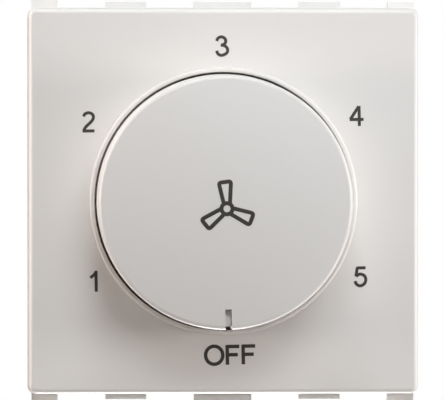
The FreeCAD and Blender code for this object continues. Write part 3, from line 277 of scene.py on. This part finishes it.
# Copper tracks: etched foil on the board's front, under the same lacquer. Each runs straight
# between two pads, from the switch's tags to the leads and the terminals' legs.
def closed_strip(sections, endless=False):
    """Joins equal rings of points, given as an array of ring, corner, xyz, into one closed
    surface: a quad between each corner and the next of two rings that follow each other. Unless
    the strip is endless, a lid closes each end."""
    rings, corners = sections.shape[:2]
    index = np.arange(rings * corners).reshape(rings, corners)
    if endless:
        index = np.vstack([index, index[:1]])
    beside = np.roll(index, -1, axis=1)
    quads = np.stack([index[:-1], index[1:], beside[1:], beside[:-1]], axis=-1).reshape(-1, 4)
    lids = [] if endless else [index[0].tolist(), index[-1][::-1].tolist()]
    return sections.reshape(-1, 3), quads.tolist() + lids


def flat_line(path, width, thickness, face, ball_radius=math.inf):
    """A flat line of even width on a face that looks towards -Y. The face is flat at its height
    in Y, or crowned by a ball that touches that height on the Y axis. The path is an array of
    x, z in millimetres. At each point of it stands a rectangle, square to the path, from just
    under the face to the line's thickness above it."""
    path = np.asarray(path, float)
    endless = bool(np.allclose(path[0], path[-1]))
    if endless:
        path = path[:-1]
        ahead = np.roll(path, -1, axis=0) - np.roll(path, 1, axis=0)
    else:
        ahead = np.gradient(path, axis=0)
    ahead = ahead / np.linalg.norm(ahead, axis=1, keepdims=True)
    across = np.stack([-ahead[:, 1], ahead[:, 0]], axis=1) * (width / 2)
    left, right = path + across, path - across
    ring = []
    for side, lift in ((right, -0.1), (right, 1.0), (left, 1.0), (left, -0.1)):
        drop = (side**2).sum(axis=1) / (2 * ball_radius)
        ring.append(np.column_stack([side[:, 0], face + drop - lift * thickness, side[:, 1]]))
    return closed_strip(np.stack(ring, axis=1) * MM, endless)


def flat_lines(paths, width, thickness, face, ball_radius=math.inf):
    """Flat lines on one face. Neighbours in the list differ in thickness by a thousandth of a
    millimetre, so that where two cross, their tops never lie in one plane."""
    step, levels = 0.001, 4
    return [
        flat_line(path, width, thickness + rank % levels * step, face, ball_radius)
        for rank, path in enumerate(paths)
    ]


def new_piece(name, surfaces, material, body, smooth=False):
    """One mesh object from several closed surfaces, riding on a body."""
    starts = np.cumsum([0] + [len(points) for points, _ in surfaces])
    points = np.vstack([points for points, _ in surfaces])
    faces = [
        [corner + int(start) for corner in face]
        for start, (_, faces_here) in zip(starts, surfaces)
        for face in faces_here
    ]
    mesh = bpy.data.meshes.new(name)
    mesh.from_pydata(points.tolist(), [], faces)
    mesh.polygons.foreach_set("use_smooth", [smooth] * len(mesh.polygons))
    mesh.materials.append(material)
    mesh.update()
    piece = bpy.data.objects.new(name, mesh)
    bpy.context.scene.collection.objects.link(piece)
    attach(piece, body)
    return piece


board_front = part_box("circuit_board")[0].y / MM
TAG_RADIUS = 7.9
TRACK_WIDTH = 1.3
FOIL = 0.035
common_tag = (0, -4.4)
tag_angles = [math.radians(60 * speed) for speed in range(1, 6)]
speed_tags = [(-TAG_RADIUS * math.sin(a), -TAG_RADIUS * math.cos(a)) for a in tag_angles]
tracks = [
    [common_tag, (-3.2, -9.0), (-8.0, -13.4), (-9.0, -14.2)],
    [speed_tags[4], (8.4, -8.0), (9.0, -14.2)],
    [speed_tags[0], (-11.45, -2.6), (-17.5, -2.6)],
    [speed_tags[1], (-13.75, 9.3), (-17.5, 11.3)],
    [speed_tags[2], (4.0, 12.2), (10.0, 12.6), (13.75, 9.3)],
    [speed_tags[3], (11.45, -2.6), (17.5, -2.6)],
    [(13.75, 9.3), (17.5, 11.3)],
    [(17.5, -0.1), (17.5, -2.6)],
    [(-17.5, -0.1), (-17.5, -2.6)],
    [(-17.5, -11.3), (-11.6, -14.2)],
    [(17.5, -11.3), (11.6, -14.2)],
]
lacquer = moulding(
    "track_lacquer",
    (0.07, 0.27, 0.1, 1),
    (0.05, 0.22, 0.08, 1),
    gloss=0.25,
    grain_pitch=0.3 * MM,
    grain_depth=0.001 * MM,
)
strips = flat_lines(tracks, TRACK_WIDTH, FOIL, board_front)
new_piece("copper_tracks", strips, lacquer, "housing")


# Solder: a small fillet of solder round each lead and leg where it comes through the board's
# front, drawn up the pin by surface tension, so its slope is hollow.
def turned_about_y(profile, x, z, segments=24):
    """A surface of revolution about a line along Y through x, z. The profile is an array of
    radius, y in millimetres, from one end of the line to the other."""
    radius, y = np.asarray(profile, float).T
    angle = np.linspace(0, 2 * math.pi, segments, endpoint=False)
    rings = np.stack(
        [
            x + radius[:, None] * np.cos(angle),
            np.broadcast_to(y[:, None], (len(y), segments)),
            z + radius[:, None] * np.sin(angle),
        ],
        axis=-1,
    )
    return closed_strip(rings * MM)


FILLET_HEIGHT = 0.62


def solder_fillet(x, z, foot, pin):
    """The radius falls from the foot to the pin as the square of what is left of the height."""
    rise = np.linspace(0, 1, 8)
    radius = pin + (foot - pin) * (1 - rise) ** 2
    profile = np.column_stack([radius, board_front - FILLET_HEIGHT * rise])
    return turned_about_y(profile[::-1], x, z)


solder = Finish("solder", {"Metallic": 1.0})
frosted = solder.cloud(solder.place(), 2500, 3.0)
solder.feed("Base Color", solder.mixed(frosted, (0.62, 0.62, 0.63, 1), (0.5, 0.5, 0.52, 1)))
solder.feed("Roughness", 0.16 + 0.2 * frosted)
solder.relief(frosted, 0.004 * MM)
lead_places = [(side * x, z) for side in (-1, 1) for x, z in ((13.75, 9.3), (11.45, -2.6))]
lead_places += [(side * 17.5, z) for side in (-1, 1) for z in (11.3, -0.1, -2.6, -11.3)]
leg_places = [(side * 9.0 + leg, -14.2) for side in (-1, 1) for leg in (-2.6, 2.6)]
joints = [solder_fillet(x, z, foot=0.95, pin=0.43) for x, z in lead_places]
joints += [solder_fillet(x, z, foot=1.25, pin=0.8) for x, z in leg_places]
new_piece("solder_joints", joints, solder.material, "housing", smooth=True)


# Board screws: four small self-tapping screws, headed and rolled from steel wire and plated with
# zinc. They are driven through the board into the housing's bosses.
zinc = drawn_metal(
    "screw_zinc", ZINC, (0.5, 0.51, 0.5, 1), gloss=0.26, stretch=(1, 1, 1), dulled=0.5
)
dress(zinc, "board_screws")


# Capacitors: two film capacitors in boxes of yellow flame-retardant plastic, sealed with epoxy on
# the side towards the board, with tinned copper leads.
TINNED = (0.66, 0.66, 0.64, 1)
EDGE = 0.01 * MM


def boxed(name, seal_height):
    """Yellow plastic, then epoxy below the seal's height and tinned wire in front of that."""
    finish = Finish(name, {"IOR": 1.5})
    point = finish.place()
    height = finish.axis(point, "Y")
    is_lead = height < seal_height - EDGE
    is_epoxy = height < seal_height + EDGE
    grain = finish.cloud(point, 4500, 3.0)
    yellow = finish.mixed(grain, (0.8, 0.56, 0.07, 1), (0.72, 0.48, 0.05, 1))
    sealed = finish.mixed(is_epoxy, yellow, (0.5, 0.34, 0.06, 1))
    finish.feed("Base Color", finish.mixed(is_lead, sealed, TINNED))
    finish.feed("Metallic", is_lead)
    finish.feed("Roughness", 0.38 - 0.12 * is_epoxy + 0.08 * grain)
    finish.relief(grain, 0.004 * MM)
    return finish.material


SEAL_LIFT = 1.3
for name in ("run_capacitor", "start_capacitor"):
    dress(boxed(name + "_box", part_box("circuit_board")[1].y + SEAL_LIFT * MM), name)


# Resistors: a lacquered ceramic rod with a pressed cap at each end and painted colour bands that
# give its value. The leads are tinned copper, bent down into the board.
GREY_LACQUER = (0.2, 0.27, 0.32, 1)
TAN_LACQUER = (0.42, 0.3, 0.17, 1)
BROWN = (0.12, 0.04, 0.015, 1)
BLACK = (0.012, 0.012, 0.012, 1)
GOLD = (0.5, 0.33, 0.08, 1)
RED = (0.45, 0.02, 0.015, 1)
BAND_WIDTH = 0.07
RAMP_END = 0.99
SURGE_HALF_LENGTH = 4.5 * MM
BLEED_HALF_LENGTH = 3.15 * MM


def banded(name, ground, half_length, bands):
    """Lacquer with bands along the body, and bare wire past its ends. The ramp reads the place
    along the body, from 0 at its lower end to 1 at its upper end."""
    low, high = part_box(name)
    finish = Finish(name + "_lacquer", {"IOR": 1.5})
    point = finish.place((low + high) / 2)
    along = finish.axis(point, "Z")
    is_wire = abs(along) > half_length + 2 * EDGE
    share = along * (0.5 / half_length) + 0.5
    stops = [(0.0, ground)]
    for place, colour in bands:
        stops += [(place, colour), (place + BAND_WIDTH, ground)]
    stops.append((RAMP_END, ground))
    paint = finish.node("ValToRGB", {"stops": stops}, {0: share})
    grain = finish.cloud(point, 3500, 3.0)
    finish.feed("Base Color", finish.mixed(is_wire, paint, TINNED))
    finish.feed("Metallic", is_wire)
    finish.feed("Roughness", 0.3 + 0.15 * grain)
    finish.relief(grain, 0.006 * MM)
    return finish.material


surge_bands = [(0.2, BROWN), (0.34, BLACK), (0.48, BLACK), (0.74, GOLD)]
bleed_bands = [(0.2, BROWN), (0.34, BLACK), (0.48, RED), (0.74, GOLD)]
for letter in "ab":
    surge, bleed = "surge_resistor_" + letter, "bleed_resistor_" + letter
    dress(banded(surge, GREY_LACQUER, SURGE_HALF_LENGTH, surge_bands), surge)
    dress(banded(bleed, TAN_LACQUER, BLEED_HALF_LENGTH, bleed_bands), bleed)


# Rotary switch: cup and cover of black glass-filled polyamide, held by four brass rivets. The
# glass gives the moulding a faint fleck and a dry surface.
switch_black = moulding(
    "switch_black",
    (0.03, 0.03, 0.032, 1),
    (0.018, 0.018, 0.02, 1),
    gloss=0.5,
    grain_pitch=0.12 * MM,
    grain_depth=0.006 * MM,
)
dress(switch_black, "switch_base", "switch_cover")
rivet_brass = drawn_metal(
    "rivet_brass", BRASS, TARNISHED, gloss=0.28, stretch=(1, 1, 1), dulled=0.6
)
dress(rivet_brass, "switch_rivets")


# Contacts: a ring and five sectors stamped from hard brass strip, each with a tag through the
# board. The wiper that runs on them is sprung phosphor bronze, redder and brighter.
stamped_brass = drawn_metal(
    "stamped_brass", BRASS, TARNISHED, gloss=0.2, stretch=(0.06, 1, 1), dulled=0.4
)
dress(stamped_brass, "common_contact", *[f"speed_contact_{n}" for n in range(1, 6)])
bronze = drawn_metal(
    "phosphor_bronze",
    (0.74, 0.45, 0.25, 1),
    (0.4, 0.2, 0.1, 1),
    gloss=0.18,
    stretch=(1, 1, 0.06),
    dulled=0.4,
)
dress(bronze, "contact_wiper")


# Detent: a wheel of natural acetal, slightly waxy, and a leaf of blued spring steel whose nose
# drops into the wheel's notches.
acetal = moulding(
    "natural_acetal",
    (0.78, 0.77, 0.72, 1),
    (0.74, 0.73, 0.68, 1),
    gloss=0.38,
    grain_pitch=0.25 * MM,
    grain_depth=0.003 * MM,
)
dress(acetal, "detent_wheel")
spring_steel = drawn_metal(
    "spring_steel",
    (0.5, 0.5, 0.52, 1),
    (0.2, 0.19, 0.22, 1),
    gloss=0.22,
    stretch=(1, 1, 0.05),
    dulled=0.6,
)
dress(spring_steel, "detent_spring")


# Spindle: free-cutting steel turned on an automatic lathe, so its surface carries fine rings.
# Its clip and the knob's grip spring are stamped from spring strip.
turned_steel = drawn_metal(
    "turned_steel",
    (0.56, 0.56, 0.57, 1),
    (0.34, 0.33, 0.32, 1),
    gloss=0.22,
    stretch=(0.05, 1, 0.05),
    dulled=0.5,
)
dress(turned_steel, "spindle")
dress(spring_steel, "spindle_clip", "knob_grip_spring")


# Front plate: the visible square of white polycarbonate, polished to a satin gloss, with a low
# collar round the knob. It snaps onto the housing from the front.
SATIN = {
    "pale": (0.775, 0.755, 0.735, 1),
    "deep": (0.76, 0.74, 0.72, 1),
    "gloss": 0.42,
    "grain_pitch": 0.35 * MM,
    "grain_depth": 0.0012 * MM,
}
satin_white = moulding("satin_white", **SATIN)
dress(satin_white, "front_plate")


# Print on the plate: OFF below the knob and the speeds 1 to 5 round it, pad-printed in dark grey
# ink, a thin film with soft edges. Each character is a few strokes of one pen width.
def smooth_path(points, steps=10):
    """A curve through the points: between two of them a cubic whose end slopes are half the
    chord of the neighbours (Catmull-Rom), with the end points repeated."""
    points = np.asarray(points, float)
    padded = np.vstack([points[:1], points, points[-1:]])
    before, start, end, after = padded[:-3], padded[1:-2], padded[2:-1], padded[3:]
    t = np.linspace(0, 1, steps, endpoint=False)[None, :, None]
    before, start, end, after = (p[:, None, :] for p in (before, start, end, after))
    curve = 0.5 * (
        2 * start
        + (end - before) * t
        + (2 * before - 5 * start + 4 * end - after) * t**2
        + (3 * start - before - 3 * end + after) * t**3
    )
    return np.vstack([curve.reshape(-1, 2), points[-1:]])


def ellipse(x, z, half_width, half_height, steps=64):
    angle = np.linspace(0, 2 * math.pi, steps + 1)
    return np.column_stack([x + half_width * np.cos(angle), z + half_height * np.sin(angle)])


def placed(strokes, x, z, turn):
    """Strokes drawn about their own middle, turned by an angle in degrees and moved to x, z."""
    c, s = math.cos(math.radians(turn)), math.sin(math.radians(turn))
    spin = np.array([[c, s], [-s, c]])
    return [np.asarray(stroke) @ spin + (x, z) for stroke in strokes]


ink = Finish("ink", {"IOR": 1.48})
film = ink.cloud(ink.place(), 6000, 3.0)
ink.feed("Base Color", ink.mixed(film, (0.047, 0.041, 0.037, 1), (0.036, 0.032, 0.029, 1)))
ink.feed("Roughness", 0.42 + 0.12 * film)
ink.relief(film, 0.001 * MM)

PEN = 0.35
WORD_PEN = 0.4
INK_FILM = 0.012
PLATE_FACE = -6.0
PRINT_TURN = 1.0
one = [[(-0.52, 0.4), (-0.1, 0.72), (0.14, 1.05)], [(0.14, 1.2), (0.14, -1.2)]]
two = [
    smooth_path([(-0.6, 0.63), (-0.42, 0.92), (0.0, 1.05), (0.4, 0.88), (0.53, 0.55), (0.42, 0.22),
                 (0.12, -0.12), (-0.25, -0.45), (-0.5, -0.78), (-0.58, -1.03)]),
    [(-0.74, -1.03), (0.62, -1.03)],
]
three = [
    smooth_path([(-0.53, 0.58), (-0.38, 0.9), (0.0, 1.05), (0.37, 0.88), (0.5, 0.56), (0.36, 0.24),
                 (0.0, 0.1)]),
    smooth_path([(-0.08, 0.1), (0.3, 0.05), (0.6, -0.18), (0.7, -0.5), (0.55, -0.84), (0.02, -1.06),
                 (-0.4, -0.9), (-0.56, -0.52)]),
]
four = [
    [(0.24, 1.1), (-0.74, -0.36)],
    [(-0.82, -0.4), (0.76, -0.4)],
    [(0.27, 1.14), (0.27, -1.15)],
]
five = [
    [(-0.42, 0.99), (0.62, 0.99)],
    [(-0.34, 1.03), (-0.5, 0.02)],
    smooth_path([(-0.5, 0.02), (-0.2, 0.24), (0.15, 0.26), (0.5, 0.04), (0.62, -0.38),
                 (0.45, -0.82), (0.0, -1.06), (-0.42, -0.9), (-0.62, -0.52)]),
]
letter_o = [ellipse(0, 0, 0.98, 1.03)]
letter_f = [
    [(-0.62, 1.12), (-0.62, -1.12)],
    [(-0.72, 0.96), (0.76, 0.96)],
    [(-0.72, 0.02), (0.58, 0.02)],
]
numbers = [
    (one, -14.7, -9.13),
    (two, -15.38, 9.05),
    (three, -0.25, 17.71),
    (four, 15.22, 9.73),
    (five, 15.63, -8.62),
]
numerals = [line for strokes, x, z in numbers for line in placed(strokes, x, z, PRINT_TURN)]
word = placed(letter_o, -1.08, -17.6, PRINT_TURN)
word += placed(letter_f, 1.04, -17.56, PRINT_TURN)
word += placed(letter_f, 2.86, -17.51, PRINT_TURN)
print_lines = flat_lines(numerals, PEN, INK_FILM, PLATE_FACE)
print_lines += flat_lines(word, WORD_PEN, INK_FILM, PLATE_FACE)
new_piece("plate_print", print_lines, ink.material, "housing")


# Knob: a hollow moulding of the same white and gloss as the plate, pushed onto the spindle. Its
# face is slightly crowned, and a pointer notch is cut through its rim.
MIDDLE_RADIUS = 2.31 * MM
knob_white = moulding("knob_white", **SATIN, middle=MIDDLE_RADIUS)
dress(knob_white, "knob")


# Fan sign on the knob: the common outline of a three-bladed fan, pad-printed in the same ink. A
# ring stands for the hub, and each blade widens towards a rounded tip.
def rounded_path(points, radius, steps=8):
    """Straight runs through the points. At each inner corner a quadratic arc starts and ends
    at the given distance from the corner."""
    points = np.asarray(points, float)
    before, corner, after = points[:-2], points[1:-1], points[2:]
    back, on = before - corner, after - corner
    back *= radius / np.linalg.norm(back, axis=1, keepdims=True)
    on *= radius / np.linalg.norm(on, axis=1, keepdims=True)
    t = np.linspace(0, 1, steps)[None, :, None]
    arcs = corner[:, None] + back[:, None] * (1 - t) ** 2 + on[:, None] * t**2
    return np.vstack([points[:1], arcs.reshape(-1, 2), points[-1:]])


SIGN_PEN = 0.45
SIGN_TURNS = (0, -117.8, -238.8)
KNOB_TOP = -16.2
CROWN_RADIUS = 137.1
HUB_RADIUS = 0.62
BLADE_CORNER = 0.32
sign_centre = (0.106, -0.67)
blade = rounded_path([(-0.36, 0.56), (-0.93, 2.9), (0.45, 3.08), (0.33, 0.56)], BLADE_CORNER)
hub_ring = placed([ellipse(0, 0, HUB_RADIUS, HUB_RADIUS, 48)], *sign_centre, 0)
blades = [line for turn in SIGN_TURNS for line in placed([blade], *sign_centre, turn)]
sign = flat_lines(hub_ring + blades, SIGN_PEN, INK_FILM, KNOB_TOP, CROWN_RADIUS)
new_piece("fan_sign", sign, ink.material, "knob")


# Studio: a pale floor well below, two soft boxes near the camera, six round the plate that skim
# its edges and the knob's rim, and one behind and below. The surround looks white to the camera
# but sheds only dim, warm light, more of it from behind the plate than from in front.
FLOOR_RADIUS = 0.4
FLOOR_HEIGHT = -0.3


def disc(radius, z, rings=6, segments=96):
    """A flat disc: rings of points round the middle, at even steps of the radius."""
    angle = np.linspace(0, 2 * math.pi, segments, endpoint=False)
    radii = np.linspace(radius / rings, radius, rings)[:, None]
    height = np.full((rings, segments), z)
    points = np.stack([radii * np.cos(angle), radii * np.sin(angle), height], -1)
    index = np.arange(rings * segments).reshape(rings, segments)
    beside = np.roll(index, -1, axis=1)
    quads = np.stack([index[:-1], index[1:], beside[1:], beside[:-1]], -1).reshape(-1, 4)
    return points.reshape(-1, 3), quads.tolist() + [index[0].tolist()]


floor_points, floor_faces = disc(FLOOR_RADIUS, FLOOR_HEIGHT)
floor_mesh = bpy.data.meshes.new("floor")
floor_mesh.from_pydata(floor_points.tolist(), [], floor_faces)
floor_paint = moulding(
    "floor_paint",
    (0.82, 0.82, 0.82, 1),
    (0.8, 0.8, 0.8, 1),
    gloss=0.8,
    grain_pitch=2 * MM,
    grain_depth=0.01 * MM,
)
floor_mesh.materials.append(floor_paint)
floor = bpy.data.objects.new("floor", floor_mesh)
bpy.context.scene.collection.objects.link(floor)


def soft_light(name, tilt, turn, width, power, colour):
    """A soft box that faces the plate's middle. It stands off the line straight in front by a
    tilt in degrees, to the side given by a turn in degrees, clockwise from the top."""
    lamp = bpy.data.lights.new(name, "AREA")
    lamp.shape = "RECTANGLE"
    lamp.size, lamp.size_y = width, LIGHT_HEIGHT
    lamp.energy, lamp.color = power, colour
    tilt, turn = math.radians(tilt), math.radians(turn)
    aside = math.sin(tilt)
    away = Vector((aside * math.sin(turn), -math.cos(tilt), aside * math.cos(turn)))
    holder = bpy.data.objects.new(name, lamp)
    holder.location = away * LIGHT_DISTANCE + Vector((0, PLATE_FACE * MM, 0))
    holder.rotation_euler = away.to_track_quat("Z", "Y").to_euler()
    holder.visible_camera = False
    bpy.context.scene.collection.objects.link(holder)


LIGHT_DISTANCE = 0.22
LIGHT_HEIGHT = 0.06
AMBIENT = 0.03
BACKDROP = 0.3
FADE_END = 0.3
DAYLIGHT = (0.94, 0.975, 1.0)
WARM_WHITE = (1.0, 0.96, 0.94)
LAMPLIGHT = (1.0, 0.88, 0.8)
soft_light("key_light", 35, 15, 0.12, 0.17, DAYLIGHT)
soft_light("front_light", 20, 30, 0.06, 0.05, DAYLIGHT)
soft_light("top_light", 74, 0, 0.06, 0.205, DAYLIGHT)
soft_light("right_light", 73, 88, 0.06, 0.27, WARM_WHITE)
soft_light("lower_right_light", 84, 120, 0.06, 0.115, WARM_WHITE)
soft_light("low_light", 80, 190, 0.06, 0.025, LAMPLIGHT)
soft_light("under_light", 115, 180, 0.06, 0.5, WARM_WHITE)
soft_light("left_light", 78, 273, 0.06, 0.265, LAMPLIGHT)
soft_light("upper_left_light", 88, 300, 0.06, 0.14, WARM_WHITE)

world = bpy.data.worlds.new("surround")
world.use_nodes = True
tree = world.node_tree
ground = tree.nodes["Background"]
seen = tree.nodes.new("ShaderNodeBackground")
seen.inputs["Color"].default_value = (1, 1, 1, 1)
ground.inputs["Color"].default_value = (*WARM_WHITE, 1)
path = tree.nodes.new("ShaderNodeLightPath")
either = tree.nodes.new("ShaderNodeMixShader")
ground_side = tree.nodes.new("ShaderNodeTexCoord")
direction = tree.nodes.new("ShaderNodeSeparateXYZ")
behind = tree.nodes.new("ShaderNodeMapRange")
behind.interpolation_type = "SMOOTHSTEP"
fade = {"From Min": 0.0, "From Max": FADE_END, "To Min": AMBIENT, "To Max": BACKDROP}
for socket, value in fade.items():
    behind.inputs[socket].default_value = value
tree.links.new(ground_side.outputs["Generated"], direction.inputs[0])
tree.links.new(direction.outputs["Y"], behind.inputs["Value"])
tree.links.new(behind.outputs[0], ground.inputs["Strength"])
tree.links.new(path.outputs["Is Camera Ray"], either.inputs[0])
tree.links.new(ground.outputs[0], either.inputs[1])
tree.links.new(seen.outputs[0], either.inputs[2])
tree.links.new(either.outputs[0], tree.nodes["World Output"].inputs["Surface"])
bpy.context.scene.world = world
bpy.context.scene.view_settings.view_transform = "Standard"

# Camera: 550 mm away, a little to the left of the plate's middle and a little above it, as the
# rings of the knob and the collar show in the photograph. The lens follows from the scale there.
DISTANCE = 0.55
LEFT = math.radians(1.5)
ABOVE = math.radians(0.95)
PIXELS_PER_METRE = 8758
PICTURE_WIDTH = 444
SENSOR_WIDTH = 36
aim = Vector((-0.000188, PLATE_FACE * MM, 0.000137))
level = math.cos(ABOVE)
away = Vector((-math.sin(LEFT) * level, -math.cos(LEFT) * level, math.sin(ABOVE)))
camera_data = bpy.data.cameras.new("camera")
camera_data.sensor_width = SENSOR_WIDTH
camera_data.lens = SENSOR_WIDTH * PIXELS_PER_METRE * DISTANCE / PICTURE_WIDTH
camera_data.clip_start, camera_data.clip_end = 0.01, 10
camera = bpy.data.objects.new("camera", camera_data)
camera.location = aim + away * DISTANCE
camera.rotation_euler = (-away).to_track_quat("-Z", "Y").to_euler()
bpy.context.scene.collection.objects.link(camera)
bpy.context.scene.camera = camera
